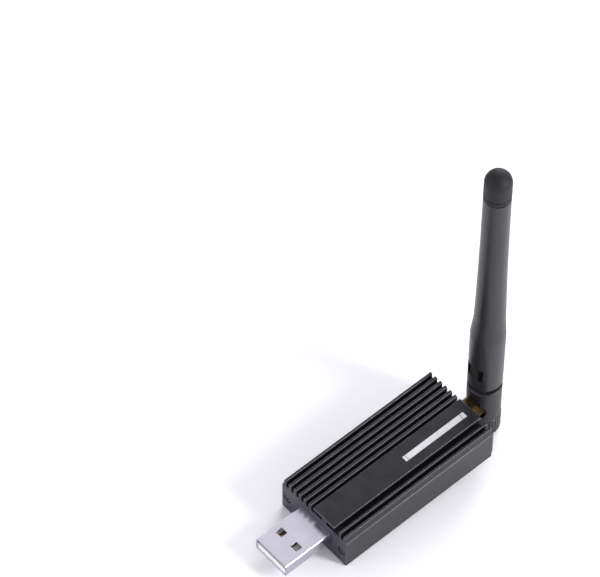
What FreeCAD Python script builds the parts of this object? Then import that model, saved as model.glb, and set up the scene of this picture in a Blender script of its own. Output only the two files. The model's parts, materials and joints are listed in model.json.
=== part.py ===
"""USB radio stick: finned aluminium case, USB-A plug and a swivel antenna with a hinged mast.

The origin is the middle of the case's underside. X points across the stick, Y along it towards the
antenna, and Z up. The plug points along -Y.
"""
import FreeCAD, Part
import os
import re
import Sketcher

# Driving sizes in millimetres
SIZES = {
    # Case
    "case_width": 25.9,
    "case_length": 53.0,
    "case_height": 13.4,
    "wall": 1.2,
    "left_inset": 0.8,
    "right_inset": 0.5,
    "side_drop": 0.3,
    "rail_width": 0.75,
    "fin_height": 2.5,
    "fin_width": 0.9,
    "fin_pitch": 2.0,
    "left_groove": 1.13,
    "least_groove": 0.5,
    "right_groove": 1.19,
    "lone_fin_width": 0.7,
    "land_width": 8.37,
    "land_groove": 1.81,
    "land_thickness": 0.8,
    "web_width": 1.65,
    "groove_round": 0.45,
    "fin_bevel": 0.12,
    "foot_bevel": 0.25,
    "rim": 0.45,
    # Ribs that hold the board and the screws
    "rib_reach": 3.15,
    "rib_lip": 1.1,
    "slot_depth": 0.6,
    "board_gap": 0.05,
    # End plates and screws
    "plate_thickness": 1.2,
    "plate_gap": 0.1,
    "plate_proud": 0.5,
    "plate_inset": 0.1,
    "plate_corner": 2.4,
    "plate_bevel": 0.12,
    "screw_inset": 2.05,
    "screw_diameter": 1.6,
    "screw_length": 6.0,
    "screw_hole_gap": 0.1,
    "screw_bore_gap": 0.02,
    "head_diameter": 2.1,
    "head_height": 0.5,
    "head_bevel": 0.12,
    "head_sink": 0.1,
    "head_gap": 0.3,
    "cross_span": 1.3,
    "cross_width": 0.38,
    "cross_depth": 0.35,
    # Axis of the plug and the jack
    "axis_shift": 0.65,
    "axis_rise": 1.08,
    # Plug
    "plug_width": 12.0,
    "plug_height": 4.5,
    "plug_reach": 15.9,
    "plug_inside": 3.5,
    "plug_wall": 0.3,
    "plug_round": 0.5,
    "plug_opening_gap": 0.12,
    "window_start": 5.2,
    "window_length": 2.2,
    "window_width": 2.3,
    "window_spread": 6.0,
    "tab_length": 2.5,
    "tab_rise": 1.9,
    "tab_pin": 1.4,
    "tab_inset": 0.6,
    "tab_gap": 0.1,
    "tongue_thickness": 1.9,
    "tongue_setback": 0.3,
    "tongue_gap": 0.06,
    "base_block": 4.0,
    "contact_width": 1.0,
    "contact_thickness": 0.25,
    "contact_proud": 0.08,
    "contact_inner": 2.0,
    "contact_outer": 7.0,
    "contact_setback": 1.2,
    "contact_tail": 1.6,
    # Circuit board
    "board_thickness": 1.6,
    "board_slack": 0.1,
    "bridge_chip": 5.0,
    "bridge_back": 9.0,
    "regulator_width": 3.0,
    "regulator_length": 1.7,
    "regulator_back": 5.5,
    "regulator_inset": 0.9,
    "radio_chip": 7.0,
    "radio_back": 26.0,
    "crystal_width": 2.5,
    "crystal_length": 3.2,
    "crystal_inset": 1.3,
    "chip_height": 0.9,
    "capacitor_width": 0.8,
    "capacitor_length": 1.6,
    "capacitor_height": 0.8,
    "capacitor_pitch": 2.2,
    "capacitor_back": 17.0,
    # Jack
    "jack_diameter": 6.35,
    "jack_bore": 4.1,
    "jack_reach": 8.5,
    "jack_hole_gap": 0.08,
    "jack_bevel": 0.3,
    "flange_width": 7.5,
    "flange_height": 6.2,
    "flange_gap": 0.07,
    "flange_thickness": 1.6,
    "leg_length": 4.0,
    "leg_width": 1.1,
    "leg_height": 1.0,
    "socket_depth": 2.0,
    "contact_diameter": 1.27,
    "tail_diameter": 1.06,
    "tail_length": 2.5,
    "pin_diameter": 0.9,
    "pin_gap": 0.05,
    "pin_entry": 1.3,
    # Coupling ring and clip
    "ring_wall": 0.78,
    "ring_gap": 0.05,
    "ring_setback": 0.07,
    "clip_thickness": 0.3,
    "clip_depth": 0.2,
    "clip_setback": 0.2,
    "clip_opening": 2.0,
    # Antenna base
    "antenna_reach": 8.25,
    "collar_radius": 5.04,
    "collar_height": 6.52,
    "collar_bevel": 0.3,
    "flute_count": 32,
    "flute_width": 0.62,
    "flute_depth": 0.26,
    "spigot_radius": 3.0,
    "spigot_height": 0.4,
    "spigot_gap": 0.05,
    "barrel_radius": 4.88,
    "barrel_drop": 4.91,
    "barrel_height": 13.21,
    "barrel_round": 0.3,
    "nose_gap": 0.1,
    "feed_radius": 2.4,
    "feed_length": 2.0,
    "feed_pin_end": 1.0,
    # Knuckle
    "neck_gap": 2.24,
    "pin_rise": 2.83,
    "hinge_pin": 1.6,
    "hinge_play": 0.05,
    "hinge_depth": 4.3,
    "neck_width": 5.6,
    "neck_play": 0.07,
    "neck_back": 3.6,
    "neck_root": 4.1,
    "shoulder_rise": 1.15,
    "tongue_width": 2.64,
    "tongue_play": 0.2,
    "tongue_front": 4.6,
    "tongue_round": 0.4,
    # Mast
    "mast_radius": 4.9,
    "slot_rise": 6.4,
    "flare_rise": 18.2,
    "flare_length": 8.8,
    "flare_radius": 4.32,
    "flare_shift": 0.2,
    "taper_length": 52.1,
    "taper_radius": 3.75,
    "mast_bore": 4.5,
    "bore_floor": 1.2,
    "groove_width": 0.3,
    "groove_depth": 0.3,
    "groove_space": 1.28,
    "cap_straight": 4.58,
    "cap_plug": 3.0,
    "dome_flat": 0.02,
    "bore_play": 0.05,
    "radiator_length": 30.0,
    "radiator_wall": 0.3,
    "wire_diameter": 1.0,
    "wire_seat": 1.5,
    # How far a cut starts outside what it cuts
    "cut_margin": 1.0,
}
CAPACITORS = 6
# Shares of the length, the shift and the narrowing at the middle sections of the mast's lofts
FLARE_SECTIONS = ((0.3, 0.25, 0.3), (0.65, 0.7, 0.75))
TAPER_SECTION = (0.5, 0.6, 0.78)

# Places worked out from the sizes
PLACES = {
    "half_width": "case_width / 2",
    "front": "-case_length / 2",
    "rear": "case_length / 2",
    "wall_top": "case_height - fin_height",
    "axis_height": "wall_top / 2 + axis_rise",
    "left_edge": "-half_width + left_inset + rail_width",
    "right_edge": "half_width - right_inset - rail_width",
    "side_top": "wall_top - side_drop",
    "lone_fin": "right_edge - right_groove - lone_fin_width",
    "land_right": "lone_fin - land_groove",
    "land_left": "land_right - land_width",
    "land_under": "case_height - land_thickness",
    "web_left": "land_right - land_width / 2 - web_width / 2",
    "web_right": "web_left + web_width",
    "cavity_side": "half_width - wall",
    "cavity_top": "wall_top - wall",
    "rib_edge": "cavity_side - rib_reach",
    "slot_edge": "rib_edge + slot_depth",
    "mouth_side": "half_width - rim",
    "mouth_top": "wall_top - rim",
    "board_top": "axis_height - tail_diameter / 2",
    "board_bottom": "board_top - board_thickness",
    "board_middle": "board_top - board_thickness / 2",
    "board_side": "slot_edge - board_slack",
    "board_front": "front + plug_inside + board_slack",
    "flange_rear": "rear - plate_thickness",
    "flange_front": "flange_rear - flange_thickness",
    "flange_top": "cavity_top - flange_gap",
    "board_rear": "flange_front - board_gap",
    "screw_side": "half_width - screw_inset",
    "screw_hole": "screw_diameter / 2 + screw_hole_gap",
    "screw_seat": "head_diameter / 2 + head_gap",
    "seat_depth": "head_sink + head_height",
    "opening_half": "plug_width / 2 + plug_opening_gap",
    "opening_rise": "plug_height / 2 + plug_opening_gap",
    "plug_tip": "front - plug_reach",
    "plug_end": "front + plug_inside",
    "shell_inner": "plug_width / 2 - plug_wall",
    "shell_floor": "-plug_height / 2 + plug_wall",
    "tongue_height": "shell_floor + tongue_gap + tongue_thickness",
    "block_front": "plug_end - base_block",
    "jack_end": "rear + jack_reach",
    "socket_floor": "jack_end - socket_depth",
    "plate_face": "rear + plate_proud",
    "ring_inner": "jack_diameter / 2 + ring_gap",
    "ring_outer": "ring_inner + ring_wall",
    "ring_bore": "ring_outer + ring_gap",
    "clip_rear": "jack_end - clip_setback",
    "clip_front": "clip_rear - clip_thickness",
    "antenna_place": "rear + antenna_reach",
    "ring_front": "antenna_place - sqrt(barrel_radius ^ 2 - ring_bore ^ 2) + ring_setback",
    "barrel_bottom": "axis_height - barrel_drop",
    "barrel_top": "barrel_bottom + barrel_height",
    "collar_bottom": "barrel_bottom - collar_height",
    "bore_end": "jack_end + ring_gap",
    "mast_bottom": "barrel_top + neck_gap",
    "pin_height": "mast_bottom + pin_rise",
    "shoulder": "pin_height + shoulder_rise",
    "slot_top": "pin_height + slot_rise",
    "tongue_top": "slot_top - tongue_play",
    "tongue_sweep": "sqrt(tongue_front ^ 2 + (tongue_top - pin_height) ^ 2) + tongue_play",
    "slot_half": "neck_width / 2 + neck_play",
    "slot_side": "mast_radius + cut_margin",
    "flare_bottom": "pin_height + flare_rise",
    "flare_top": "flare_bottom + flare_length",
    "mast_top": "flare_top + taper_length",
    "bore_bottom": "pin_height + tongue_sweep + bore_floor",
    "groove_radius": "taper_radius - groove_depth",
    "cap_groove": "mast_top + groove_width + groove_space",
    "dome_base": "cap_groove + cap_straight",
}

# Sketch plane across each axis, and the sign of its normal along that axis
PLANES = {"X": ("YZ_Plane", 1), "Y": ("XZ_Plane", -1), "Z": ("XY_Plane", 1)}
# Sketch plane that holds each axis as its vertical direction
TURNING_PLANES = {"Y": "XY_Plane", "Z": "XZ_Plane"}
NEAR = 0.001

doc = FreeCAD.newDocument("radio_stick")
sheet = doc.addObject("Spreadsheet::Sheet", "Sizes")
for row, (alias, size) in enumerate(SIZES.items(), 1):
    sheet.set(f"A{row}", alias)
    sheet.set(f"B{row}", str(size))
    sheet.setAlias(f"B{row}", alias)
doc.recompute()
pieces = []


def formula(text):
    """Spell out the places in a formula and name the sheet before each size."""
    def spell(match):
        word = match.group(0)
        if word in PLACES:
            return f"({formula(PLACES[word])})"
        return f"Sizes.{word}" if word in SIZES else word
    return re.sub(r"[a-z_]+", spell, text)


def value(text):
    """Number that a formula gives."""
    return float(sheet.evalExpression(formula(text)))


def link(item, field, text):
    """Bind one property to a formula."""
    item.setExpression(field, formula(text))


def place(item, x="0", y="0", z="0"):
    """Bind an object's position."""
    for side, text in zip("xyz", (x, y, z)):
        link(item, f"Placement.Base.{side}", text)


def new_body(label, x="0", y="0", z="0", keep=True):
    """Start a solid; the kept ones are sub-parts of the stick."""
    body = doc.addObject("PartDesign::Body", label)
    body.Label = label
    place(body, x, y, z)
    if keep:
        pieces.append(body)
    return body


def group(label, items):
    """Join separate solids into one sub-part."""
    compound = doc.addObject("Part::Compound", label)
    compound.Label = label
    compound.Links = items
    pieces.append(compound)
    return compound


def new_sketch(body, name, role, offset):
    """Empty sketch on one of the body's own origin planes."""
    sketch = body.newObject("Sketcher::SketchObject", name)
    plane = next(item for item in body.Origin.OriginFeatures if item.Role == role)
    sketch.AttachmentSupport = [(plane, "")]
    sketch.MapMode = "FlatFace"
    link(sketch, "AttachmentOffset.Base.z", offset)
    return sketch


def bind(sketch, kind, where, text):
    """Add one dimension to a sketch and bind it to a formula."""
    number = sketch.addConstraint(Sketcher.Constraint(kind, *where, value(text)))
    link(sketch, f"Constraints[{number}]", text)


def draw_polygon(sketch, corners):
    """Closed outline through corners given as pairs of formulas."""
    first = sketch.GeometryCount
    points = [FreeCAD.Vector(value(u), value(v), 0) for u, v in corners]
    count = len(points)
    for index, point in enumerate(points):
        sketch.addGeometry(Part.LineSegment(point, points[(index + 1) % count]), False)
    for index in range(count):
        following = first + (index + 1) % count
        sketch.addConstraint(Sketcher.Constraint("Coincident", first + index, 2, following, 1))
    for index, (u, v) in enumerate(corners):
        bind(sketch, "DistanceX", (-1, 1, first + index, 1), u)
        bind(sketch, "DistanceY", (-1, 1, first + index, 1), v)


def draw_circle(sketch, u, v, radius):
    """Circle whose centre and radius are formulas."""
    centre = FreeCAD.Vector(value(u), value(v), 0)
    circle = sketch.addGeometry(Part.Circle(centre, FreeCAD.Vector(0, 0, 1), value(radius)), False)
    bind(sketch, "DistanceX", (-1, 1, circle, 3), u)
    bind(sketch, "DistanceY", (-1, 1, circle, 3), v)
    bind(sketch, "Radius", (circle,), radius)


def draw(sketch, outlines):
    """Fill a sketch with polygons and circles."""
    for outline in outlines:
        if len(outline) == 3 and isinstance(outline[0], str):
            draw_circle(sketch, *outline)
        else:
            draw_polygon(sketch, outline)


def box(u_low, v_low, u_high, v_high):
    """Corners of a rectangle."""
    return [(u_low, v_low), (u_high, v_low), (u_high, v_high), (u_low, v_high)]


def wide(half, v_low, v_high):
    """Corners of a rectangle that is even about the vertical axis."""
    return box(f"-({half})", v_low, half, v_high)


def add(body, name, axis, start, length, outlines):
    """Pad outlines along an axis, from a start towards its positive end."""
    role, sign = PLANES[axis]
    sketch = new_sketch(body, f"{name}_sketch", role, f"{sign} * ({start})")
    draw(sketch, outlines)
    pad = body.newObject("PartDesign::Pad", name)
    pad.Profile = sketch
    pad.Reversed = sign < 0
    link(pad, "Length", length)
    doc.recompute()
    return pad


def cut(body, name, axis, start, length, outlines):
    """Pocket outlines along an axis, from a start towards its positive end."""
    before = body.Shape.Volume
    role, sign = PLANES[axis]
    sketch = new_sketch(body, f"{name}_sketch", role, f"{sign} * ({start})")
    draw(sketch, outlines)
    pocket = body.newObject("PartDesign::Pocket", name)
    pocket.Profile = sketch
    pocket.Reversed = sign > 0
    link(pocket, "Length", length)
    doc.recompute()
    if body.Shape.Volume > before - NEAR:
        raise ValueError(f"{name} cuts nothing")
    return pocket


def turn(body, name, axis, corners, remove=False):
    """Revolve an outline of radius and height about the body's own axis."""
    sketch = new_sketch(body, f"{name}_sketch", TURNING_PLANES[axis], "0")
    draw_polygon(sketch, corners)
    kind = "PartDesign::Groove" if remove else "PartDesign::Revolution"
    turned = body.newObject(kind, name)
    turned.Profile = sketch
    turned.ReferenceAxis = (sketch, ["V_Axis"])
    turned.Angle = 360
    doc.recompute()
    return turned


def loft(body, name, sections):
    """Loft through circles given as height, shift along Y and radius."""
    sketches = []
    for number, (height, shift, radius) in enumerate(sections):
        sketch = new_sketch(body, f"{name}_section_{number}", "XY_Plane", height)
        draw_circle(sketch, "0", shift, radius)
        sketches.append(sketch)
    lofted = body.newObject("PartDesign::AdditiveLoft", name)
    lofted.Profile = sketches[0]
    lofted.Sections = sketches[1:]
    doc.recompute()
    return lofted


def ends(edge):
    """Both ends of an edge."""
    return edge.Vertexes[0].Point, edge.Vertexes[-1].Point


def straight_along(edge, axis):
    """Whether an edge is a straight run along an axis."""
    start, end = ends(edge)
    direction = {"X": FreeCAD.Vector(1, 0, 0), "Y": FreeCAD.Vector(0, 1, 0), "Z": FreeCAD.Vector(0, 0, 1)}
    return len(edge.Vertexes) == 2 and (end - start).cross(direction[axis]).Length < NEAR


def near(number, text):
    """Whether a number is what a formula gives."""
    return abs(number - value(text)) < NEAR


def soften(body, name, kind, size, wanted):
    """Fillet or chamfer the edges of a body that are wanted."""
    base = body.Tip
    names = [f"Edge{number}" for number, edge in enumerate(base.Shape.Edges, 1) if wanted(edge)]
    feature = body.newObject(f"PartDesign::{kind}", name)
    feature.Base = (base, names)
    link(feature, "Radius" if kind == "Fillet" else "Size", size)
    doc.recompute()
    return feature


def round_at(edge, axis, height):
    """Whether an edge is a circle across an axis at a height."""
    centre = edge.BoundBox.Center
    flat = getattr(edge.BoundBox, f"{axis}Length") < NEAR
    return edge.Closed and flat and near(getattr(centre, axis.lower()), height)


# Case
def fin_lefts():
    """Left sides of the fins that fit between the left rail and the land."""
    room = value("land_left - least_groove - fin_width - left_edge - left_groove")
    count = int(room // value("fin_pitch")) + 1
    return [f"left_edge + left_groove + {index} * fin_pitch" for index in range(count)]


def case_profile():
    """Outline of the extrusion, with its rails, fins and T-shaped land."""
    corners = [("-half_width", "0"), ("-half_width", "side_top")]
    corners += [("-half_width + left_inset / 2", "side_top + left_inset / 2")]
    corners += [("-half_width + left_inset", "case_height")]
    corners += [("left_edge", "case_height"), ("left_edge", "wall_top")]
    for left in fin_lefts():
        corners += fin(left)
    corners += [("web_left", "wall_top"), ("web_left", "land_under"), ("land_left", "land_under")]
    corners += [("land_left", "case_height"), ("land_right", "case_height")]
    corners += [("land_right", "land_under"), ("web_right", "land_under"), ("web_right", "wall_top")]
    corners += fin("lone_fin", "lone_fin_width")
    corners += [("right_edge", "wall_top"), ("right_edge", "case_height")]
    corners += [("half_width - right_inset", "case_height")]
    corners += [("half_width - right_inset / 2", "side_top + right_inset / 2")]
    corners += [("half_width", "side_top"), ("half_width", "0")]
    return corners


def fin(left, width="fin_width"):
    """Four corners of one fin."""
    right = f"{left} + {width}"
    return [(left, "wall_top"), (left, "case_height"), (right, "case_height"), (right, "wall_top")]


def cavity_profile():
    """Outline of the space inside, with a grooved rib on each side."""
    right = [
        ("cavity_side", "wall"),
        ("cavity_side", "board_bottom - rib_lip"),
        ("rib_edge", "board_bottom - rib_lip"),
        ("rib_edge", "board_bottom - board_gap"),
        ("slot_edge", "board_bottom - board_gap"),
        ("slot_edge", "board_top + board_gap"),
        ("rib_edge", "board_top + board_gap"),
        ("rib_edge", "board_top + rib_lip"),
        ("cavity_side", "board_top + rib_lip"),
        ("cavity_side", "cavity_top"),
    ]
    return right + [(f"-({x})", z) for x, z in reversed(right)]


def screw_circles(radius):
    """Circles at both screws."""
    return [(side, "board_middle", radius) for side in ("-(screw_side)", "screw_side")]


def is_groove_corner(edge):
    """Whether an edge runs along the bottom of a groove or the root of the land."""
    start = ends(edge)[0]
    inside = value("left_edge") - NEAR < start.x < value("right_edge") + NEAR
    at_root = near(start.x, "web_left") or near(start.x, "web_right")
    low = near(start.z, "wall_top") and inside
    return straight_along(edge, "Y") and (low or at_root and near(start.z, "land_under"))


def build_case():
    body = new_body("case_extrusion")
    add(body, "case_profile", "Y", "front", "case_length", [case_profile()])
    soften(body, "groove_rounding", "Fillet", "groove_round", is_groove_corner)
    soften(body, "fin_edges", "Chamfer", "fin_bevel",
           lambda edge: straight_along(edge, "Y") and near(ends(edge)[0].z, "case_height"))
    soften(body, "foot_edges", "Chamfer", "foot_bevel",
           lambda edge: straight_along(edge, "Y") and near(ends(edge)[0].z, "0"))
    cut(body, "cavity", "Y", "front", "case_length", [cavity_profile()])
    cut(body, "screw_channels", "Y", "front", "case_length",
        screw_circles("screw_diameter / 2 + screw_bore_gap"))
    mouth = wide("mouth_side", "rim", "mouth_top")
    cut(body, "front_mouth", "Y", "front", "plate_thickness", [mouth])
    cut(body, "rear_mouth", "Y", "rear - plate_thickness", "plate_thickness", [mouth])


# End plates and screws
def plate_outline():
    """Outline of what sits in a mouth of the case."""
    return wide("mouth_side - plate_gap", "rim + plate_gap", "mouth_top - plate_gap")


def build_front_plate():
    body = new_body("front_plate")
    add(body, "plate", "Y", "front", "plate_thickness", [plate_outline()])
    opening = box("axis_shift - opening_half", "axis_height - opening_rise",
                  "axis_shift + opening_half", "axis_height + opening_rise")
    cut(body, "plug_opening", "Y", "front", "plate_thickness", [opening])
    soften(body, "opening_corners", "Fillet", "plug_round + plug_opening_gap",
           lambda edge: straight_along(edge, "Y") and abs(ends(edge)[0].x) < value("screw_side - screw_hole"))
    cut(body, "screw_holes", "Y", "front", "plate_thickness", screw_circles("screw_hole"))
    cut(body, "screw_seats", "Y", "front", "seat_depth", screw_circles("screw_seat"))


def build_rear_plate():
    body = new_body("rear_plate")
    outer = wide("half_width - plate_inset", "plate_inset", "side_top")
    add(body, "flange", "Y", "rear", "plate_proud", [outer])
    soften(body, "lower_corners", "Fillet", "plate_corner",
           lambda edge: straight_along(edge, "Y") and near(ends(edge)[0].z, "plate_inset"))
    soften(body, "flange_edge", "Chamfer", "plate_bevel",
           lambda edge: all(near(point.y, "plate_face") for point in ends(edge)))
    add(body, "spigot", "Y", "rear - plate_thickness", "plate_thickness", [plate_outline()])
    depth = "plate_thickness + plate_proud"
    cut(body, "jack_hole", "Y", "rear - plate_thickness", depth,
        [("axis_shift", "axis_height", "jack_diameter / 2 + jack_hole_gap")])
    cut(body, "screw_holes", "Y", "rear - plate_thickness", depth, screw_circles("screw_hole"))
    cut(body, "screw_seats", "Y", "plate_face - seat_depth", "seat_depth", screw_circles("screw_seat"))


def cross_outline():
    """Twelve corners of a cross recess about the screw's axis."""
    wing = "cross_span / 2"
    half = "cross_width / 2"
    quarter = [(wing, half), (half, half), (half, wing)]
    corners = []
    for index in range(4):
        turned = [(f"-({v})", u) if index % 2 else (u, v) for u, v in quarter]
        sign = "-" if index >= 2 else ""
        corners += [(f"{sign}({u})", f"{sign}({v})") for u, v in turned]
    return corners


def build_screws():
    """One flat-headed screw, its mirror image, and both again at the rear."""
    screw = new_body("right_front_screw", "screw_side", "front", "board_middle", keep=False)
    turn(screw, "head_and_thread", "Y", [
        ("0", "head_sink"), ("head_diameter / 2 - head_bevel", "head_sink"),
        ("head_diameter / 2", "head_sink + head_bevel"), ("head_diameter / 2", "seat_depth"),
        ("screw_diameter / 2", "seat_depth"), ("screw_diameter / 2", "screw_length"), ("0", "screw_length")])
    cut(screw, "cross_recess", "Y", "head_sink", "cross_depth", [cross_outline()])
    mirrored = doc.addObject("Part::Mirroring", "left_front_screw")
    mirrored.Source = screw
    mirrored.Normal = FreeCAD.Vector(1, 0, 0)
    group("front_screws", [screw, mirrored])
    rear = group("rear_screws", [screw, mirrored])
    rear.Placement.Rotation = FreeCAD.Rotation(FreeCAD.Vector(0, 0, 1), 180)
    place(rear, y="plate_proud")


# Plug
def build_usb_shell():
    body = new_body("usb_shell", "axis_shift", "0", "axis_height")
    length = "plug_reach + plug_inside"
    add(body, "tube", "Y", "plug_tip", length,
        [wide("plug_width / 2", "-plug_height / 2", "plug_height / 2")])
    soften(body, "outer_folds", "Fillet", "plug_round", lambda edge: straight_along(edge, "Y"))
    side = "plug_width / 2 - plug_wall"
    cut(body, "inside", "Y", "plug_tip", length, [wide(side, "shell_floor", "-(shell_floor)")])
    soften(body, "inner_folds", "Fillet", "plug_round - plug_wall",
           lambda edge: straight_along(edge, "Y") and near(abs(ends(edge)[0].x), side))
    windows = []
    for sign in ("-", ""):
        middle = f"{sign}window_spread / 2"
        windows.append(box(f"{middle} - window_width / 2", "plug_tip + window_start",
                           f"{middle} + window_width / 2", "plug_tip + window_start + window_length"))
    cut(body, "latch_windows", "Z", "-plug_height / 2", "plug_height", windows)
    tab = [("plug_end - tab_inset", "0"), ("plug_end - tab_inset", "tab_rise"),
           ("plug_end + tab_length", "tab_rise"), ("plug_end + tab_length", "board_top - axis_height"),
           ("plug_end + tab_inset + tab_pin", "board_top - axis_height"),
           ("plug_end + tab_inset + tab_pin", "board_bottom - axis_height"),
           ("plug_end + tab_inset", "board_bottom - axis_height"),
           ("plug_end + tab_inset", "0")]
    add(body, "left_tab", "X", "-plug_width / 2", "plug_wall", [tab])
    add(body, "right_tab", "X", side, "plug_wall", [tab])


def contact_middles():
    """Places of the four contacts across the plug."""
    return ["-contact_outer / 2", "-contact_inner / 2", "contact_inner / 2", "contact_outer / 2"]


def build_usb_insulator():
    body = new_body("usb_insulator", "axis_shift", "0", "axis_height")
    side = "shell_inner - tongue_gap"
    low = "shell_floor + tongue_gap"
    start = "plug_tip + tongue_setback"
    add(body, "tongue", "Y", start, f"plug_end - tongue_gap - ({start})", [wide(side, low, "tongue_height")])
    add(body, "base_block", "Y", "block_front", "base_block - tongue_gap",
        [wide(side, low, "-(shell_floor) - tongue_gap")])
    grooves = [box(f"{middle} - contact_width / 2", "tongue_height + contact_proud - contact_thickness",
                   f"{middle} + contact_width / 2", "tongue_height + contact_proud")
               for middle in contact_middles()]
    start = "plug_tip + contact_setback"
    cut(body, "contact_grooves", "Y", start, f"plug_end - ({start})", grooves)


def build_usb_contacts():
    """Four strips that lie in the tongue, step down behind the base block and end flat on the board."""
    top = "tongue_height + contact_proud"
    under = f"{top} - contact_thickness"
    floor = "board_top - axis_height"
    bend = "plug_end + board_slack"
    profile = [("plug_tip + contact_setback", under), ("plug_tip + contact_setback", top),
               (f"{bend} + contact_thickness", top),
               (f"{bend} + contact_thickness", f"{floor} + contact_thickness"),
               (f"{bend} + contact_tail", f"{floor} + contact_thickness"),
               (f"{bend} + contact_tail", floor), (bend, floor), (bend, under)]
    strips = []
    for number, middle in enumerate(contact_middles(), 1):
        strip = new_body(f"contact_{number}", "axis_shift", "0", "axis_height", keep=False)
        add(strip, "strip", "X", f"{middle} - contact_width / 2", "contact_width", [profile])
        strips.append(strip)
    group("usb_contacts", strips)


# Circuit board and what it carries
def build_board():
    body = new_body("circuit_board")
    add(body, "board", "Z", "board_bottom", "board_thickness",
        [wide("board_side", "board_front", "board_rear")])
    slots = []
    for sign in ("-", ""):
        middle = f"axis_shift {sign or '+'} (plug_width - plug_wall) / 2"
        slots.append(box(f"{middle} - plug_wall / 2 - tab_gap", "plug_end + tab_inset - tab_gap",
                         f"{middle} + plug_wall / 2 + tab_gap", "plug_end + tab_inset + tab_pin + tab_gap"))
    cut(body, "tab_slots", "Z", "board_bottom", "board_thickness", slots)


def new_block(label, x, y, width, length, height, keep=True):
    """Block that stands on the board, centred at a place on it."""
    block = doc.addObject("Part::Box", label)
    block.Label = label
    link(block, "Length", width)
    link(block, "Width", length)
    link(block, "Height", height)
    place(block, f"{x} - ({width}) / 2", f"{y} - ({length}) / 2", "board_top")
    if keep:
        pieces.append(block)
    return block


def build_chips():
    for label, back, side in (("radio_chip", "radio_back", "radio_chip"),
                              ("usb_bridge_chip", "bridge_back", "bridge_chip")):
        new_block(label, "axis_shift", f"board_front + {back}", side, side, "chip_height")
    regulator_x = "rib_edge - regulator_inset - regulator_width / 2"
    new_block("voltage_regulator", regulator_x, "board_front + regulator_back",
              "regulator_width", "regulator_length", "chip_height")
    crystal_x = "-rib_edge + crystal_inset + crystal_width / 2"
    new_block("radio_crystal", crystal_x, "board_front + radio_back",
              "crystal_width", "crystal_length", "chip_height")
    capacitors = []
    for number in range(CAPACITORS):
        x = f"axis_shift + ({number} - {CAPACITORS - 1} / 2) * capacitor_pitch"
        capacitors.append(new_block(f"capacitor_{number + 1}", x, "board_front + capacitor_back",
                                    "capacitor_width", "capacitor_length", "capacitor_height", keep=False))
    group("board_capacitors", capacitors)


# Jack
def build_jack():
    body = new_body("sma_jack", "axis_shift", "0", "axis_height")
    top = "flange_top - axis_height"
    add(body, "flange", "Y", "flange_front", "flange_thickness",
        [wide("flange_width / 2", f"{top} - flange_height", top)])
    inner = "flange_width / 2 - leg_width"
    over = "board_top - axis_height"
    under = "board_bottom - axis_height"
    legs = [box(left, low, right, high)
            for left, right in (("-flange_width / 2", f"-({inner})"), (inner, "flange_width / 2"))
            for low, high in ((over, f"{over} + leg_height"), (f"{under} - leg_height", under))]
    add(body, "legs", "Y", "flange_front - leg_length", "leg_length", legs)
    turn(body, "threaded_barrel", "Y", [
        ("0", "flange_rear"), ("jack_diameter / 2", "flange_rear"),
        ("jack_diameter / 2", "jack_end - jack_bevel"),
        ("jack_diameter / 2 - jack_bevel", "jack_end"), ("0", "jack_end")])
    cut(body, "bore", "Y", "flange_front", "jack_end - flange_front", [("0", "0", "jack_bore / 2")])

    insulator = new_body("jack_insulator", "axis_shift", "0", "axis_height")
    length = "socket_floor - flange_front"
    add(insulator, "sleeve", "Y", "flange_front", length, [("0", "0", "jack_bore / 2")])
    cut(insulator, "bore", "Y", "flange_front", length, [("0", "0", "contact_diameter / 2")])

    contact = new_body("jack_contact", "axis_shift", "0", "axis_height")
    hole = "pin_diameter / 2 + pin_gap"
    turn(contact, "contact", "Y", [
        ("0", "flange_front - tail_length"), ("tail_diameter / 2", "flange_front - tail_length"),
        ("tail_diameter / 2", "flange_front"), ("contact_diameter / 2", "flange_front"),
        ("contact_diameter / 2", "socket_floor"), (hole, "socket_floor"),
        (hole, "socket_floor - socket_depth"), ("0", "socket_floor - socket_depth")])


# Coupling ring and clip
def build_coupling():
    ring = new_body("coupling_ring", "axis_shift", "0", "axis_height")
    bottom = "ring_outer - clip_depth"
    turn(ring, "ring", "Y", [
        ("ring_inner", "ring_front"), ("ring_outer", "ring_front"), ("ring_outer", "clip_front - ring_gap"),
        (bottom, "clip_front - ring_gap"), (bottom, "clip_rear"), ("ring_outer", "clip_rear"),
        ("ring_outer", "jack_end"), ("ring_inner", "jack_end")])
    clip = new_body("coupling_clip", "axis_shift", "0", "axis_height")
    turn(clip, "ring", "Y", [
        (bottom, "clip_front"), ("ring_outer + clip_depth", "clip_front"),
        ("ring_outer + clip_depth", "clip_rear"), (bottom, "clip_rear")])
    cut(clip, "opening", "Y", "clip_front", "clip_thickness",
        [wide("clip_opening / 2", "-ring_outer - 2 * clip_depth", "0")])


# Antenna base
def is_flute_end(edge):
    """Whether an edge is the collar's outer circle at its top or bottom."""
    outer = near(edge.BoundBox.XLength, "2 * collar_radius")
    return outer and (round_at(edge, "Z", "collar_bottom") or round_at(edge, "Z", "barrel_bottom"))


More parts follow.
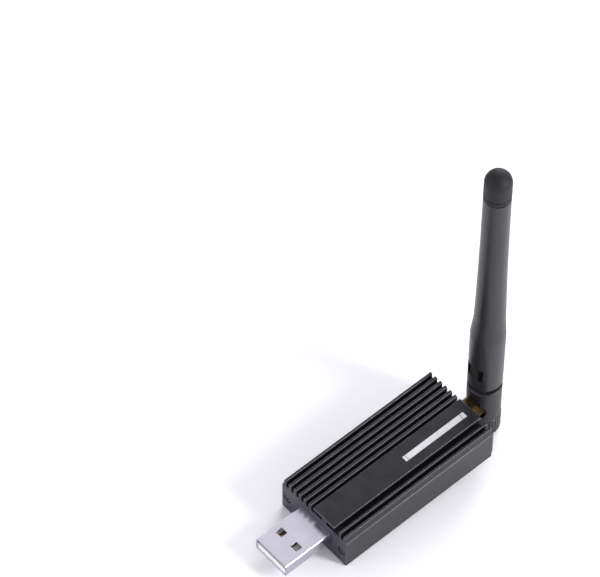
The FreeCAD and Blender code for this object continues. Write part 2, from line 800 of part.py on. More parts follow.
def build_collar():
    body = new_body("knurled_collar", "axis_shift", "antenna_place")
    turn(body, "disc", "Z", [
        ("0", "collar_bottom"), ("collar_radius", "collar_bottom"), ("collar_radius", "barrel_bottom"),
        ("spigot_radius", "barrel_bottom"), ("spigot_radius", "barrel_bottom + spigot_height"),
        ("0", "barrel_bottom + spigot_height")])
    soften(body, "rims", "Chamfer", "collar_bevel", is_flute_end)
    flute = cut(body, "flute", "Z", "collar_bottom", "collar_height",
                [[("collar_radius - flute_depth", "0"), ("collar_radius + flute_depth", "flute_width"),
                  ("collar_radius + flute_depth", "-flute_width")]])
    pattern = body.newObject("PartDesign::PolarPattern", "flutes")
    pattern.Originals = [flute]
    pattern.Axis = (flute.Profile[0], ["N_Axis"])
    pattern.Angle = 360
    link(pattern, "Occurrences", "flute_count")
    body.Tip = pattern
    doc.recompute()


def build_antenna_base():
    body = new_body("antenna_base", "axis_shift", "antenna_place")
    turn(body, "barrel", "Z", [
        ("0", "barrel_bottom"), ("barrel_radius", "barrel_bottom"),
        ("barrel_radius", "barrel_top - barrel_round"), ("barrel_radius - barrel_round", "barrel_top"),
        ("0", "barrel_top")])
    neck = "mast_radius - hinge_play"
    add(body, "neck", "Z", "barrel_top", "shoulder - barrel_top", [("0", "0", neck)])
    half = "neck_width / 2"
    beyond = "mast_radius + cut_margin"
    cut(body, "neck_flats", "Z", "barrel_top", "shoulder - barrel_top",
        [box(f"-({beyond})", f"-({beyond})", f"-({half})", beyond),
         box(half, f"-({beyond})", beyond, beyond)])
    cut(body, "neck_back", "Z", "barrel_top", "shoulder - barrel_top", [wide(half, "neck_back", beyond)])
    add(body, "tongue", "X", "-tongue_width / 2", "tongue_width",
        [box("-tongue_front", "pin_height", "neck_back", "tongue_top")])
    soften(body, "tongue_corners", "Fillet", "tongue_round",
           lambda edge: straight_along(edge, "X") and near(ends(edge)[0].z, "tongue_top"))
    turn(body, "neck_groove", "Z", [
        ("neck_root", "barrel_top"), ("mast_radius", "barrel_top"),
        ("mast_radius", "mast_bottom"), ("neck_root", "mast_bottom")], remove=True)
    cut(body, "pin_hole", "X", f"-({half})", "neck_width",
        [("0", "pin_height", "hinge_pin / 2 + hinge_play")])
    front = "-barrel_radius - cut_margin"
    cut(body, "ring_bore", "Y", front, f"bore_end - antenna_place - ({front})",
        [("0", "axis_height", "ring_bore")])
    cut(body, "clip_groove", "Y", "clip_front - ring_gap - antenna_place", "clip_thickness + 2 * ring_gap",
        [("0", "axis_height", "ring_outer + clip_depth + ring_gap")])
    cut(body, "feed_seat", "Y", "bore_end - antenna_place", "feed_length",
        [("0", "axis_height", "feed_radius")])
    cut(body, "feed_pin_hole", "Y", "bore_end + feed_length - antenna_place", "feed_pin_end",
        [("0", "axis_height", "pin_diameter / 2")])
    cut(body, "spigot_seat", "Z", "barrel_bottom", "spigot_height + spigot_gap",
        [("0", "0", "spigot_radius + spigot_gap")])


def build_feed():
    insulator = new_body("feed_insulator", "axis_shift", "0", "axis_height")
    nose = "jack_bore / 2 - nose_gap"
    turn(insulator, "nose_and_flange", "Y", [
        ("pin_diameter / 2", "socket_floor + nose_gap"), (nose, "socket_floor + nose_gap"),
        (nose, "bore_end"),
        ("feed_radius", "bore_end"), ("feed_radius", "bore_end + feed_length"),
        ("pin_diameter / 2", "bore_end + feed_length")])
    pin = new_body("feed_pin", "axis_shift", "0", "axis_height")
    tip = "socket_floor - pin_entry"
    length = f"bore_end + feed_length + feed_pin_end - ({tip})"
    add(pin, "pin", "Y", tip, length, [("0", "0", "pin_diameter / 2")])


# Mast
def build_mast_sleeve():
    body = new_body("mast_sleeve", "axis_shift", "antenna_place")
    add(body, "fork", "Z", "mast_bottom", "flare_bottom - mast_bottom", [("0", "0", "mast_radius")])
    flare = [("flare_bottom", "0", "mast_radius")]
    for along, shift, narrowing in FLARE_SECTIONS:
        flare.append((f"flare_bottom + flare_length * {along}", f"flare_shift * {shift}",
                      f"mast_radius - (mast_radius - flare_radius) * {narrowing}"))
    loft(body, "flare", flare + [("flare_top", "flare_shift", "flare_radius")])
    along, shift, narrowing = TAPER_SECTION
    loft(body, "taper", [
        ("flare_top", "flare_shift", "flare_radius"),
        (f"flare_top + taper_length * {along}", f"flare_shift * (1 - {shift})",
         f"flare_radius - (flare_radius - taper_radius) * {narrowing}"),
        ("mast_top", "0", "taper_radius")])
    cut(body, "slot", "Y", "-slot_side", "2 * slot_side",
        [wide("slot_half", "mast_bottom - cut_margin", "slot_top")])
    cut(body, "room_for_tongue", "X", "-tongue_width / 2 - tongue_play", "tongue_width + 2 * tongue_play",
        [("0", "pin_height", "tongue_sweep")])
    cut(body, "bore", "Z", "bore_bottom", "mast_top - bore_bottom", [("0", "0", "mast_bore / 2")])
    cut(body, "pin_hole", "X", "-mast_radius", "mast_radius + hinge_depth",
        [("0", "pin_height", "hinge_pin / 2")])


def build_mast_cap():
    body = new_body("mast_cap", "axis_shift", "antenna_place")
    spigot = "mast_bore / 2 - bore_play"
    turn(body, "cap", "Z", [
        ("0", "mast_top - cap_plug"), (spigot, "mast_top - cap_plug"), (spigot, "mast_top"),
        ("groove_radius", "mast_top"), ("groove_radius", "mast_top + groove_width"),
        ("taper_radius", "mast_top + groove_width"), ("taper_radius", "cap_groove"),
        ("groove_radius", "cap_groove"), ("groove_radius", "cap_groove + groove_width"),
        ("taper_radius", "cap_groove + groove_width"), ("taper_radius", "dome_base + taper_radius"),
        ("0", "dome_base + taper_radius")])
    soften(body, "dome", "Fillet", "taper_radius - dome_flat",
           lambda edge: round_at(edge, "Z", "dome_base + taper_radius"))
    cut(body, "wire_seat", "Z", "mast_top - cap_plug", "wire_seat",
        [("0", "0", "wire_diameter / 2 + bore_play")])


def build_radiator():
    sleeve = new_body("radiator_sleeve", "axis_shift", "antenna_place")
    outer = "mast_bore / 2 - bore_play"
    inner = f"{outer} - radiator_wall"
    wire = "wire_diameter / 2"
    top = "bore_bottom + radiator_length"
    turn(sleeve, "cup", "Z", [
        (wire, "bore_bottom"), (outer, "bore_bottom"), (outer, top), (inner, top),
        (inner, "bore_bottom + 2 * radiator_wall"), (wire, "bore_bottom + 2 * radiator_wall")])
    rod = new_body("radiator_wire", "axis_shift", "antenna_place")
    add(rod, "wire", "Z", "bore_bottom", "mast_top - cap_plug + wire_seat - bore_play - bore_bottom",
        [("0", "0", wire)])


def build_hinge_pin():
    body = new_body("hinge_pin", "axis_shift", "antenna_place", "pin_height")
    left = "sqrt(mast_radius ^ 2 - (hinge_pin / 2) ^ 2) - hinge_play"
    add(body, "pin", "X", f"-({left})", f"{left} + hinge_depth", [("0", "0", "hinge_pin / 2")])


build_case()
build_front_plate()
build_rear_plate()
build_screws()
build_usb_shell()
build_usb_insulator()
build_usb_contacts()
build_board()
build_chips()
build_jack()
build_coupling()
build_collar()
build_antenna_base()
build_feed()
build_mast_sleeve()
build_mast_cap()
build_radiator()
build_hinge_pin()
doc.recompute()

for item in doc.Objects:
    if "Invalid" in item.State or "Error" in item.State:
        raise RuntimeError(f"{item.Label} failed: {item.State}")
for piece in pieces:
    if piece.Shape.isNull() or not piece.Shape.isValid():
        raise RuntimeError(f"{piece.Label} has no valid shape")
os.makedirs("parts", exist_ok=True)
for piece in pieces:
    piece.Shape.exportStep(f"parts/{piece.Label}.step")
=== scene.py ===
"""USB radio stick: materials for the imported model, printed fields, floor, light and camera."""
import json
import math

import bmesh
import bpy
from mathutils import Matrix, Vector


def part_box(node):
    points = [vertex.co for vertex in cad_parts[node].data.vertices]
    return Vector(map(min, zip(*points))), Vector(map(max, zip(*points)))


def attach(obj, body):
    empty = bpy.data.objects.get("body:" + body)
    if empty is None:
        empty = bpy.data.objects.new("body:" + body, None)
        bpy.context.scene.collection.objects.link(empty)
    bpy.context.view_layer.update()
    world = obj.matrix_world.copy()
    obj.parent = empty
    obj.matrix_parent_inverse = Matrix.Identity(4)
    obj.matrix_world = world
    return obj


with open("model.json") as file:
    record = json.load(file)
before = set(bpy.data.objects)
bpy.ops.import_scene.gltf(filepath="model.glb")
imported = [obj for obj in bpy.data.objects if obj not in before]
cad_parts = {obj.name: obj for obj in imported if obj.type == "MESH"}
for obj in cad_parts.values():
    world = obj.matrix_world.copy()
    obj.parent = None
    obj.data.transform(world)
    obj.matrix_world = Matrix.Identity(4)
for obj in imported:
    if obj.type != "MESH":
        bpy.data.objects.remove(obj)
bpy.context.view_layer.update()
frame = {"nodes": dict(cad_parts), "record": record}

MM = 0.001


# Places worked out from the frame, in millimetres
def lowest(node):
    """Lowest corner of a node at rest."""
    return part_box(node)[0] / MM


def highest(node):
    """Highest corner of a node at rest."""
    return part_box(node)[1] / MM


case_low, case_high = lowest("case_extrusion"), highest("case_extrusion")
plug_low, plug_high = lowest("usb_shell"), highest("usb_shell")
PLUG_MIDDLE = (plug_low.x + plug_high.x) / 2
PLUG_HALF = (plug_high.x - plug_low.x) / 2

# The jack's thread, from the rear plate on
THREAD_START = highest("rear_plate").y
THREAD_PITCH = 0.7056

# The knuckle's shoulder above the middle of the hinge pin, and its neck in the gap under the mast; the
# knuckle's plastic gets painted shade above the shoulder and in the neck
SHOULDER_RISE = 1.15
SHOULDER = (lowest("hinge_pin").z + highest("hinge_pin").z) / 2 + SHOULDER_RISE
NECK_GAP = 2.24
NECK_MARGIN = 0.07
NECK_MIDDLE = lowest("mast_sleeve").z - NECK_GAP / 2
NECK_HALF = NECK_GAP / 2 - NECK_MARGIN

# The two places that the stick rests on, along Y and Z: the case's front edge and the collar's bevelled rim
COLLAR_BEVEL = 0.3
REST_FRONT = case_low.yz
REST_REAR = lowest("knurled_collar").yz + Vector((COLLAR_BEVEL, 0))

# Printed fields on the land, from front to rear, placed by the case's right side and front end
PRINT_INSET = 7.8
PRINT_WIDTH = 1.8
PRINT_START = 28.5
PRINT_LENGTHS = (0.83, 19.76, 1.23)
PRINT_GAP = 0.14
PRINT_THICKNESS = 0.02
PRINT_CORNER = 0.12
CORNER_STEPS = 4

# Camera, worked out from the photograph's straight edges: metres, degrees and a lens in millimetres
CAMERA_PLACE = Vector((0.43286, -0.41418, 0.93648))
CAMERA_AZIMUTH = 48.542
CAMERA_HEIGHT = 54.728
CAMERA_ROLL = 0.139
CAMERA_LENS = 245.34
SENSOR_WIDTH = 36.0
CLIP_START, CLIP_END = 0.05, 20

# Floor, sky and lamps, in metres
FLOOR_COLOUR = (0.93, 0.925, 0.95, 1)
FLOOR_ROUGHNESS = 0.9
FLOOR_LIFT = 0.05
FLOOR_HALF = 3.0
FLOOR_GAP = 0.00002
WORLD_COLOUR = (0.95, 0.94, 1.0, 1)
WORLD_LIGHT = 0.62
WORLD_SEEN = 0.82
LAMP_AIM = Vector((0, 0.01, 0.03))
# Name, direction, distance, size, power in watts and colour
LAMPS = (
    ("key", (-0.5, 0.75, 0.43), 0.8, (0.5, 0.5), 4.2, (1, 1, 1)),
    ("side", (0.82, 0.38, 0.42), 0.7, (0.16, 0.4), 4.5, (1.0, 0.99, 1.0)),
    ("front", (-0.35, -0.9, 0.3), 0.7, (0.4, 0.4), 1.4, (1, 1, 1)),
)

# Colours. A pair runs from the darkest patch to the lightest.
ALUMINIUM = ((0.017, 0.0163, 0.0195), (0.027, 0.0262, 0.0302))
# Pale edge colour of the case: partly wear, partly a painted highlight
ALUMINIUM_WORN_AND_HIGHLIGHT = (0.44, 0.43, 0.47)
PLATE = ((0.021, 0.0195, 0.029), (0.032, 0.03, 0.044))
PLATE_TINT = (0.9, 0.87, 1.0, 1.0)
PLATE_WORN = (0.13, 0.13, 0.14)
SCREW = ((0.03, 0.029, 0.033), (0.06, 0.058, 0.062))
SCREW_WORN = (0.4, 0.39, 0.42)
NICKEL = ((0.69, 0.68, 0.75), (0.72, 0.71, 0.775))
# Painted shade: darker tint for the plug's side walls
NICKEL_SIDES_PAINTED_SHADE = (0.3, 0.3, 0.385)
NICKEL_DULL = (0.06, 0.06, 0.065)
WHITE = ((0.86, 0.86, 0.855), (0.92, 0.92, 0.915))
WAXY_WHITE = ((0.79, 0.785, 0.75), (0.87, 0.865, 0.84))
INK = ((0.55, 0.535, 0.56), (0.62, 0.605, 0.63))
MASK_GREEN = ((0.012, 0.085, 0.04), (0.03, 0.17, 0.085))
EPOXY = ((0.013, 0.013, 0.014), (0.03, 0.03, 0.031))
CERAMIC = ((0.36, 0.27, 0.18), (0.5, 0.39, 0.28))
BLACK_PLASTIC = ((0.0105, 0.0101, 0.0122), (0.0175, 0.0169, 0.02))
# Painted shade for the knuckle's slot and neck
PLASTIC_PAINTED_SHADE = (0.004, 0.004, 0.0045)
GOLD = ((0.68, 0.47, 0.17), (0.86, 0.65, 0.28))
GOLD_WORN = (0.9, 0.8, 0.6)
# Painted shade: the jack's gold, darkened far below real gold for the shaded gap between case and antenna
GOLD_PAINTED_SHADE = ((0.07, 0.045, 0.015), (0.12, 0.08, 0.028))
GOLD_PAINTED_SHADE_WORN = (0.3, 0.21, 0.09)
# Painted shade: the ring's brass, darkened far below real brass for the shaded gap between case and antenna
BRASS_PAINTED_SHADE = ((0.05, 0.036, 0.02), (0.09, 0.066, 0.036))
BRASS_PAINTED_SHADE_WORN = (0.2, 0.15, 0.08)
BRASS = ((0.58, 0.42, 0.17), (0.74, 0.57, 0.27))
STEEL = ((0.46, 0.46, 0.47), (0.6, 0.6, 0.61))
STEEL_WORN = (0.75, 0.75, 0.76)
COPPER = ((0.62, 0.3, 0.16), (0.8, 0.46, 0.28))
COPPER_WORN = (0.9, 0.6, 0.45)

# Stretches of a pattern along the axes. A small share draws it out into lines.
EVEN = (1, 1, 1)
DIE_LINES = (1, 0.012, 1)
ROLLING_LINES = (1, 0.03, 1)
CROSS_SCUFFS = (0.12, 1, 1)
CONTACT_LINES = (1, 0.05, 1)
ROUND_Y = (1, 0.1, 1)
ROUND_Z = (1, 1, 0.1)
TURNED_RINGS = (1, 0.2, 1)
LONG_CLOUDS = (1, 1, 0.5)

# A bevel's samples, and the share of a worn edge's reach at which the wear starts to show
BEVEL_SAMPLES = 6
WEAR_START = 1 / 12


# Material building
class Look:
    """One material and the short calls that build its nodes. Patterns are sized in millimetres."""

    def __init__(self, name, **plain):
        self.material = bpy.data.materials.new(name)
        self.material.use_nodes = True
        self.tree = self.material.node_tree
        self.tree.nodes.clear()
        named = {field.replace("_", " "): setting for field, setting in plain.items()}
        self.shader = self.add("ShaderNodeBsdfPrincipled", named)
        self.add("ShaderNodeOutputMaterial", {"Surface": self.shader.outputs[0]})
        metres = self.add("ShaderNodeTexCoord").outputs["Object"]
        self.place = self.stretch(metres, (1 / MM, 1 / MM, 1 / MM))
        self.normal = None

    def add(self, kind, inputs=None, **settings):
        """Add a node with its settings and inputs."""
        node = self.tree.nodes.new(kind)
        for field, setting in settings.items():
            setattr(node, field, setting)
        for field, source in (inputs or {}).items():
            self.feed(node.inputs[field], source)
        return node

    def feed(self, socket, source):
        """Link a socket to another, or set its value."""
        if isinstance(source, bpy.types.NodeSocket):
            self.tree.links.new(source, socket)
        else:
            socket.default_value = source

    def stretch(self, vector, factors):
        """Multiply a vector along each axis."""
        return self.add("ShaderNodeVectorMath", {0: vector, 1: factors}, operation="MULTIPLY").outputs[0]

    def calculate(self, operation, *values):
        """Result of one operation on numbers."""
        return self.add("ShaderNodeMath", dict(enumerate(values)), operation=operation).outputs[0]

    def times(self, first, second):
        """Product of two values."""
        return self.calculate("MULTIPLY", first, second)

    def sum(self, *terms):
        """Add values given with their weights."""
        total = 0.0
        for source, weight in terms:
            total = self.calculate("MULTIPLY_ADD", source, weight, total)
        return total

    def noise(self, scale, factors=EVEN, detail=2.0):
        """Noise from 0 to 1 with a scale per millimetre, stretched along the axes."""
        inputs = {"Vector": self.stretch(self.place, factors), "Scale": scale, "Detail": detail}
        return self.add("ShaderNodeTexNoise", inputs).outputs["Fac"]

    def span(self, source, to_low, to_high, low=0.35, high=0.65):
        """Move a value from one range to another and hold it there."""
        inputs = {"Value": source, "From Min": low, "From Max": high, "To Min": to_low, "To Max": to_high}
        return self.add("ShaderNodeMapRange", inputs).outputs["Result"]

    def tint(self, share, start, end):
        """Mix two colours."""
        node = self.add("ShaderNodeMix", {"Factor": share}, data_type="RGBA")
        self.feed(node.inputs[6], (*start, 1) if isinstance(start, tuple) else start)
        self.feed(node.inputs[7], (*end, 1) if isinstance(end, tuple) else end)
        return node.outputs[2]

    def along(self, axis):
        """One coordinate in millimetres."""
        return self.add("ShaderNodeSeparateXYZ", {0: self.place}).outputs[axis]

    def band(self, axis, middle, half, soft):
        """1 within a distance of a place along an axis, and 0 outside."""
        distance = self.calculate("ABSOLUTE", self.calculate("SUBTRACT", self.along(axis), middle))
        return self.span(distance, 1.0, 0.0, half, half + soft)

    def round_edges(self, radius):
        """Soften the shading of every sharp edge over a radius in millimetres."""
        node = self.add("ShaderNodeBevel", {"Radius": radius * MM}, samples=BEVEL_SAMPLES)
        self.normal = node.outputs["Normal"]

    def edge_wear(self, radius, reach=0.12):
        """1 along sharp edges and 0 on flat faces."""
        bevel = self.add("ShaderNodeBevel", {"Radius": radius * MM}, samples=BEVEL_SAMPLES)
        flat = self.add("ShaderNodeNewGeometry").outputs["Normal"]
        inputs = {0: bevel.outputs["Normal"], 1: flat}
        match = self.add("ShaderNodeVectorMath", inputs, operation="DOT_PRODUCT").outputs["Value"]
        return self.span(match, 1.0, 0.0, 1.0 - reach, 1.0 - reach * WEAR_START)

    def patchy_wear(self, radius, scale, least, detail=4.0):
        """Worn edges that fade in patches, down to a least share."""
        return self.times(self.edge_wear(radius), self.span(self.noise(scale, detail=detail), least, 1.0))

    def bump(self, height, depth):
        """Raise the surface by a height pattern, up to a depth in millimetres."""
        node = self.add("ShaderNodeBump", {"Height": height, "Distance": depth * MM, "Strength": 1.0})
        if self.normal:
            self.feed(node.inputs["Normal"], self.normal)
        self.normal = node.outputs["Normal"]

    def finish(self, colour, roughness):
        """Connect the colour, the roughness and the normal."""
        self.feed(self.shader.inputs["Base Color"], colour)
        self.feed(self.shader.inputs["Roughness"], roughness)
        if self.normal:
            self.feed(self.shader.inputs["Normal"], self.normal)
        return self.material


# Finishes of the housing and the plug
def black_aluminium():
    """Extruded and black anodised: fine die lines along the stick, and paler, smoother edges that are partly
    real wear and partly a painted highlight.
    """
    look = Look("black_aluminium", Metallic=0.1, Specular_IOR_Level=0.21)
    lines = look.noise(5.0, DIE_LINES, 3.0)
    grain = look.noise(14.0, detail=1.0)
    cloud = look.noise(0.22, detail=3.0)
    # Pale edges: partly patchy wear and partly a painted highlight along every sharp edge
    wear = look.patchy_wear(0.13, 0.9, 0.55)
    tone = look.tint(look.sum((look.span(cloud, 0, 1), 0.55), (lines, 0.45)), *ALUMINIUM)
    look.round_edges(0.14)
    look.bump(look.sum((lines, 0.7), (grain, 0.3)), 0.006)
    rough = look.sum((look.span(cloud, 0.3, 0.38), 1.0), (look.span(grain, -0.02, 0.03), 1.0), (wear, -0.07))
    return look.finish(look.tint(look.times(wear, 0.9), tone, ALUMINIUM_WORN_AND_HIGHLIGHT), rough)


def black_plate():
    """Stamped plate, blasted and black anodised."""
    look = Look("black_plate", Metallic=0.1, Specular_Tint=PLATE_TINT)
    grain = look.noise(9.0, detail=3.0)
    cloud = look.noise(0.35, detail=3.0)
    wear = look.patchy_wear(0.08, 1.1, 0.3)
    tone = look.tint(look.span(cloud, 0, 1), *PLATE)
    look.round_edges(0.08)
    look.bump(grain, 0.005)
    rough = look.sum((look.span(cloud, 0.36, 0.45), 1.0), (look.span(grain, -0.03, 0.03), 1.0))
    return look.finish(look.tint(look.times(wear, 0.5), tone, PLATE_WORN), rough)


def black_screw():
    """Black oxide on steel, rubbed along the rim and in the recess."""
    look = Look("black_screw", Metallic=0.7)
    grain = look.noise(7.0, detail=4.0)
    wear = look.patchy_wear(0.07, 2.2, 0.3, 3.0)
    tone = look.tint(look.span(grain, 0, 1), *SCREW)
    look.round_edges(0.05)
    look.bump(grain, 0.006)
    return look.finish(look.tint(wear, tone, SCREW_WORN), look.span(grain, 0.3, 0.45))


def plug_metal():
    """Nickel plated sheet: faint rolling lines, painted shade on the side walls, duller bends and ends, and a
    seam underneath.
    """
    look = Look("plug_metal", Metallic=1.0)
    rolled = look.noise(1.6, ROLLING_LINES, 2.0)
    smudge = look.noise(0.28, detail=1.0)
    scuffs = look.span(look.noise(2.4, CROSS_SCUFFS, 5.0), 0.0, 1.0, 0.62, 0.72)
    # Painted shade: the side walls are tinted darker to stand in for the shadowed floor that they reflect
    shaded_sides = look.span(look.band(0, PLUG_MIDDLE, PLUG_HALF - 0.05, 0.04), 1.0, 0.0, 0.0, 1.0)
    tone = look.tint(look.span(smudge, 0, 1), *NICKEL)
    tone = look.tint(look.times(shaded_sides, 0.6), tone, NICKEL_SIDES_PAINTED_SHADE)
    under = look.span(look.along(2), 1.0, 0.0, plug_low.z + 0.1, plug_low.z + 0.2)
    seam = look.times(look.band(0, PLUG_MIDDLE, 0.03, 0.04), under)
    cut_end = look.band(1, plug_low.y, 0.03, 0.03)
    bends = look.edge_wear(0.12, 0.2)
    look.round_edges(0.08)
    look.bump(look.sum((rolled, 0.7), (smudge, 0.3)), 0.0001)
    look.bump(seam, -0.08)
    rough = look.sum((look.span(smudge, 0.225, 0.24), 1.0), (look.span(rolled, -0.003, 0.003), 1.0),
                     (scuffs, 0.006))
    dull = look.sum((seam, 1.0), (cut_end, 0.5), (bends, 0.45))
    return look.finish(look.tint(dull, tone, NICKEL_DULL), rough)


def print_ink():
    """White printed ink that lies thinly on the satin metal."""
    look = Look("print_ink")
    grain = look.noise(7.0, detail=3.0)
    patch = look.noise(0.8, detail=4.0)
    look.bump(grain, 0.006)
    tone = look.tint(look.span(patch, 0, 1), *INK)
    return look.finish(tone, look.span(grain, 0.42, 0.56))


# Finishes of metal pieces, insulators and the board
def plated(name, pair, rough, lines=EVEN, wear=GOLD_WORN, thread=False):
    """Plated or drawn metal with tool lines and paler edges, and a thread where it is asked for."""
    look = Look(name, Metallic=1.0)
    tool = look.noise(7.0, lines, 3.0)
    cloud = look.noise(0.8, detail=3.0)
    rub = look.times(look.edge_wear(0.06), 0.4)
    look.round_edges(0.05)
    if thread:
        place = look.along(1)
        crests = look.calculate("SINE", look.times(place, 2 * math.pi / THREAD_PITCH))
        threaded = look.span(place, 0, 1, THREAD_START, THREAD_START + 0.1)
        look.bump(look.times(crests, threaded), 0.12)
    look.bump(look.sum((tool, 0.8), (cloud, 0.2)), 0.004)
    tone = look.tint(look.sum((look.span(cloud, 0, 1), 0.6), (tool, 0.4)), *pair)
    return look.finish(look.tint(rub, tone, wear), look.span(tool, *rough))


def white_plastic():
    """White moulding with a fine matt surface and a slight depth."""
    look = Look("white_plastic", Subsurface_Weight=0.12, Subsurface_Scale=0.0006)
    grain = look.noise(6.0, detail=4.0)
    cloud = look.noise(0.5, detail=2.0)
    look.round_edges(0.05)
    look.bump(grain, 0.008)
    return look.finish(look.tint(look.span(cloud, 0, 1), *WHITE), look.span(grain, 0.38, 0.5))


def soft_white():
    """Turned fluoropolymer, waxy and slightly clear."""
    look = Look("ptfe", Subsurface_Weight=0.2, Subsurface_Scale=0.0005)
    rings = look.noise(5.0, TURNED_RINGS, 3.0)
    look.round_edges(0.05)
    look.bump(rings, 0.008)
    return look.finish(look.tint(look.span(rings, 0, 1), *WAXY_WHITE), look.span(rings, 0.4, 0.55))


def board():
    """Green solder mask over copper tracks."""
    look = Look("board", Coat_Weight=0.3, Coat_Roughness=0.2)
    inputs = {"Vector": look.place, "Scale": 0.9, "Randomness": 0.35}
    cells = look.add("ShaderNodeTexVoronoi", inputs, distance="MANHATTAN", feature="F1")
    tracks = look.span(cells.outputs["Distance"], 1.0, 0.0, 0.3, 0.34)
    grain = look.noise(4.0, detail=3.0)
    look.bump(look.sum((tracks, 0.8), (grain, 0.2)), 0.03)
    return look.finish(look.tint(tracks, *MASK_GREEN), look.span(grain, 0.3, 0.42))


def speckled(name, pair, scale, rounding, depth, rough):
    """Small moulded or fired block with fine speckle."""
    look = Look(name)
    speckle = look.noise(scale, detail=4.0)
    look.round_edges(rounding)
    look.bump(speckle, depth)
    return look.finish(look.tint(look.span(speckle, 0, 1), *pair), look.span(speckle, *rough))


# Finishes of the antenna
def antenna_plastic(name="antenna_plastic", knuckle=False, matt=0.0):
    """Black moulding with a fine texture, duller by a matt share, and with painted shade on the knuckle's
    tongue and neck.
    """
    look = Look(name, Specular_IOR_Level=0.4 - 0.75 * matt)
    texture = look.noise(4.5, detail=3.0)
    fine = look.noise(13.0, detail=1.0)
    cloud = look.noise(0.12, LONG_CLOUDS, 3.0)
    tone = look.tint(look.sum((look.span(cloud, 0, 1), 0.6), (fine, 0.4)), *BLACK_PLASTIC)
    rough = look.sum((look.span(cloud, 0.35 + matt, 0.4 + matt), 1.0), (look.span(texture, -0.03, 0.04), 1.0))
    # Painted shade: the tongue above the shoulder and the neck under the mast are darkened and roughened to
    # stand in for the shade of the slot and the gap
    if knuckle:
        tongue = look.span(look.along(2), 0.0, 1.0, SHOULDER, SHOULDER + 0.1)
        painted_shade = look.sum((tongue, 1.0), (look.band(2, NECK_MIDDLE, NECK_HALF, 0.05), 1.0))
        tone = look.tint(painted_shade, tone, PLASTIC_PAINTED_SHADE)
        rough = look.sum((rough, 1.0), (painted_shade, 0.35))
    look.round_edges(0.12)
    look.bump(look.sum((texture, 0.7), (fine, 0.3)), 0.012)
    return look.finish(tone, rough)


# One finish for each slot of the record, and the two nodes that have a finish of their own
finishes = {
    "black_aluminium": black_aluminium(),
    "black_plate": black_plate(),
    "black_screw": black_screw(),
    "plug_metal": plug_metal(),
    "white_plastic": white_plastic(),
    "contact_gold": plated("contact_gold", GOLD, (0.16, 0.26), CONTACT_LINES),
    # The jack's dark gold is painted shade
    "jack_gold": plated("jack_gold", GOLD_PAINTED_SHADE, (0.34, 0.46), ROUND_Y, GOLD_PAINTED_SHADE_WORN, thread=True),
    # The ring's dark brass is painted shade
    "ring_brass": plated("ring_brass", BRASS_PAINTED_SHADE, (0.38, 0.5), ROUND_Y, BRASS_PAINTED_SHADE_WORN),
    "steel": plated("steel", STEEL, (0.22, 0.34), wear=STEEL_WORN),
    "board": board(),
    "chip": speckled("chip", EPOXY, 11.0, 0.05, 0.012, (0.5, 0.66)),
    "capacitor": speckled("capacitor", CERAMIC, 6.0, 0.06, 0.01, (0.42, 0.56)),
    "crystal_can": plated("crystal_can", STEEL, (0.25, 0.36), ROUND_Y, STEEL_WORN),
    "ptfe": soft_white(),
    "antenna_plastic": antenna_plastic(),
    "radiator_brass": plated("radiator_brass", BRASS, (0.24, 0.36), ROUND_Z),
    "radiator_copper": plated("radiator_copper", COPPER, (0.25, 0.38), ROUND_Z, COPPER_WORN),
}
own_finishes = {
    "antenna_base": antenna_plastic("knuckle_plastic_painted_shade", knuckle=True, matt=0.08),
    "mast_cap": antenna_plastic("cap_plastic", matt=0.21),
}
for part in frame["record"]["subparts"]:
    shown = frame["nodes"][part["node"]]
    shown.data.materials.clear()
    shown.data.materials.append(own_finishes.get(part["node"], finishes[part["material_slot"]]))


# Printed fields on the land
def field_corners(low, high, round_front, round_rear):
    """Corners of one printed field; only the outer ends of the row are rounded."""
    right = case_high.x - PRINT_INSET
    left = right - PRINT_WIDTH
    corners = []
    for x, y, start, rounded in ((left, low, 180, round_front), (right, low, 270, round_front),
                                 (right, high, 0, round_rear), (left, high, 90, round_rear)):
        if not rounded:
            corners.append((x, y))
            continue
        centre_x = x + PRINT_CORNER if x == left else x - PRINT_CORNER
        centre_y = y + PRINT_CORNER if y == low else y - PRINT_CORNER
        for step in range(CORNER_STEPS + 1):
            turn = math.radians(start + 90 / CORNER_STEPS * step)
            corners.append((centre_x + PRINT_CORNER * math.cos(turn),
                            centre_y + PRINT_CORNER * math.sin(turn)))
    return corners


def printed_fields():
    """A long white field between two short ones, with thin bare lines between them."""
    shape = bmesh.new()
    low = case_low.y + PRINT_START
    for number, length in enumerate(PRINT_LENGTHS):
        high = low + length
        corners = field_corners(low, high, number == 0, number == len(PRINT_LENGTHS) - 1)
        points = [shape.verts.new((x * MM, y * MM, case_high.z * MM)) for x, y in corners]
        base = shape.faces.new(points)
        lifted = bmesh.ops.extrude_face_region(shape, geom=[base])["geom"]
        top = [item for item in lifted if isinstance(item, bmesh.types.BMVert)]
        bmesh.ops.translate(shape, vec=(0, 0, PRINT_THICKNESS * MM), verts=top)
        low = high + PRINT_GAP
    bmesh.ops.recalc_face_normals(shape, faces=shape.faces)
    mesh = bpy.data.meshes.new("printed_fields")
    shape.to_mesh(mesh)
    shape.free()
    piece = bpy.data.objects.new("printed_fields", mesh)
    bpy.context.scene.collection.objects.link(piece)
    mesh.materials.append(print_ink())
    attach(piece, "root")


# Floor, light and camera
def seen_share(tree):
    """1 for rays from the camera and for reflected and refracted ones, and 0 for the rest."""
    path = tree.nodes.new("ShaderNodeLightPath")
    share = path.outputs["Is Camera Ray"]
    for field in ("Is Glossy Ray", "Is Transmission Ray"):
        larger = tree.nodes.new("ShaderNodeMath")
        larger.operation = "MAXIMUM"
        tree.links.new(share, larger.inputs[0])
        tree.links.new(path.outputs[field], larger.inputs[1])
        share = larger.outputs[0]
    return share


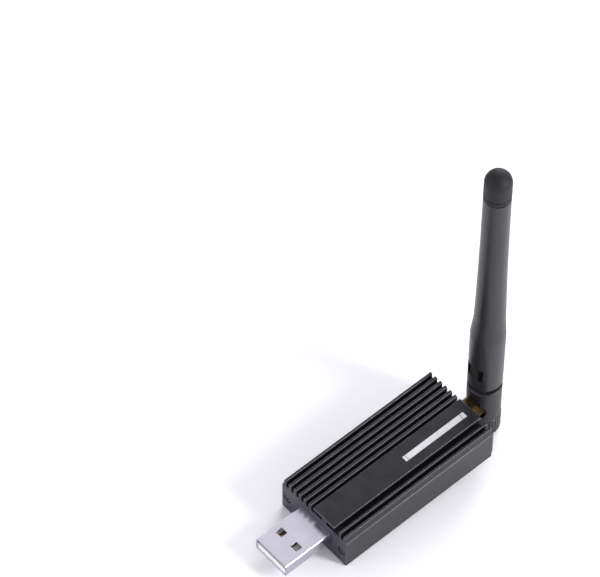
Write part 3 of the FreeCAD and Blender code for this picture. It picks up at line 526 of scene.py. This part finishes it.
def make_floor():
    """Pale floor through the two places that the stick rests on."""
    along, up = REST_FRONT
    run, drop = REST_REAR - REST_FRONT
    slope = math.atan2(drop, run)
    bpy.ops.mesh.primitive_plane_add(size=2 * FLOOR_HALF)
    floor = bpy.context.active_object
    floor.name = "floor"
    floor.rotation_euler = (slope, 0, 0)
    floor.location = (0, 0, (up - along * math.tan(slope)) * MM - FLOOR_GAP)
    material = bpy.data.materials.new("pale_floor")
    material.use_nodes = True
    tree = material.node_tree
    shader = tree.nodes["Principled BSDF"]
    shader.inputs["Base Color"].default_value = FLOOR_COLOUR
    shader.inputs["Roughness"].default_value = FLOOR_ROUGHNESS
    shader.inputs["Specular IOR Level"].default_value = 0.0
    shader.inputs["Emission Color"].default_value = (1, 1, 1, 1)
    lift = tree.nodes.new("ShaderNodeMath")
    lift.operation = "MULTIPLY"
    lift.inputs[1].default_value = FLOOR_LIFT
    tree.links.new(seen_share(tree), lift.inputs[0])
    tree.links.new(lift.outputs[0], shader.inputs["Emission Strength"])
    floor.data.materials.append(material)


def make_world():
    """Even pale sky, brighter where it is seen or reflected."""
    world = bpy.data.worlds.new("studio")
    world.use_nodes = True
    bpy.context.scene.world = world
    tree = world.node_tree
    sky = tree.nodes["Background"]
    sky.inputs["Color"].default_value = WORLD_COLOUR
    level = tree.nodes.new("ShaderNodeMapRange")
    level.inputs["To Min"].default_value = WORLD_LIGHT
    level.inputs["To Max"].default_value = WORLD_SEEN
    tree.links.new(seen_share(tree), level.inputs["Value"])
    tree.links.new(level.outputs["Result"], sky.inputs["Strength"])


def make_lamp(name, direction, distance, size, power, colour):
    """Soft rectangular lamp that faces the stick from a direction."""
    data = bpy.data.lights.new(name, "AREA")
    data.shape = "RECTANGLE"
    data.size, data.size_y = size
    data.energy = power
    data.color = colour
    lamp = bpy.data.objects.new(name, data)
    bpy.context.scene.collection.objects.link(lamp)
    away = Vector(direction).normalized()
    lamp.location = LAMP_AIM + away * distance
    lamp.rotation_mode = "QUATERNION"
    lamp.rotation_quaternion = away.to_track_quat("Z", "Y")


def make_camera():
    """Camera at the photograph's viewing angle."""
    azimuth, height, roll = (math.radians(angle) for angle in (CAMERA_AZIMUTH, CAMERA_HEIGHT, CAMERA_ROLL))
    back = Vector((math.sin(azimuth) * math.cos(height), -math.cos(azimuth) * math.cos(height),
                   math.sin(height)))
    right = Vector((math.cos(azimuth), math.sin(azimuth), 0))
    up = back.cross(right)
    turned_right = right * math.cos(roll) + up * math.sin(roll)
    turned_up = up * math.cos(roll) - right * math.sin(roll)
    data = bpy.data.cameras.new("camera")
    data.sensor_width = SENSOR_WIDTH
    data.lens = CAMERA_LENS
    data.clip_start, data.clip_end = CLIP_START, CLIP_END
    camera = bpy.data.objects.new("camera", data)
    bpy.context.scene.collection.objects.link(camera)
    columns = Matrix((turned_right, turned_up, back)).transposed()
    camera.matrix_world = Matrix.Translation(CAMERA_PLACE) @ columns.to_4x4()
    bpy.context.scene.camera = camera


printed_fields()
make_floor()
make_world()
for lamp_values in LAMPS:
    make_lamp(*lamp_values)
make_camera()
bpy.context.scene.view_settings.view_transform = "Standard"
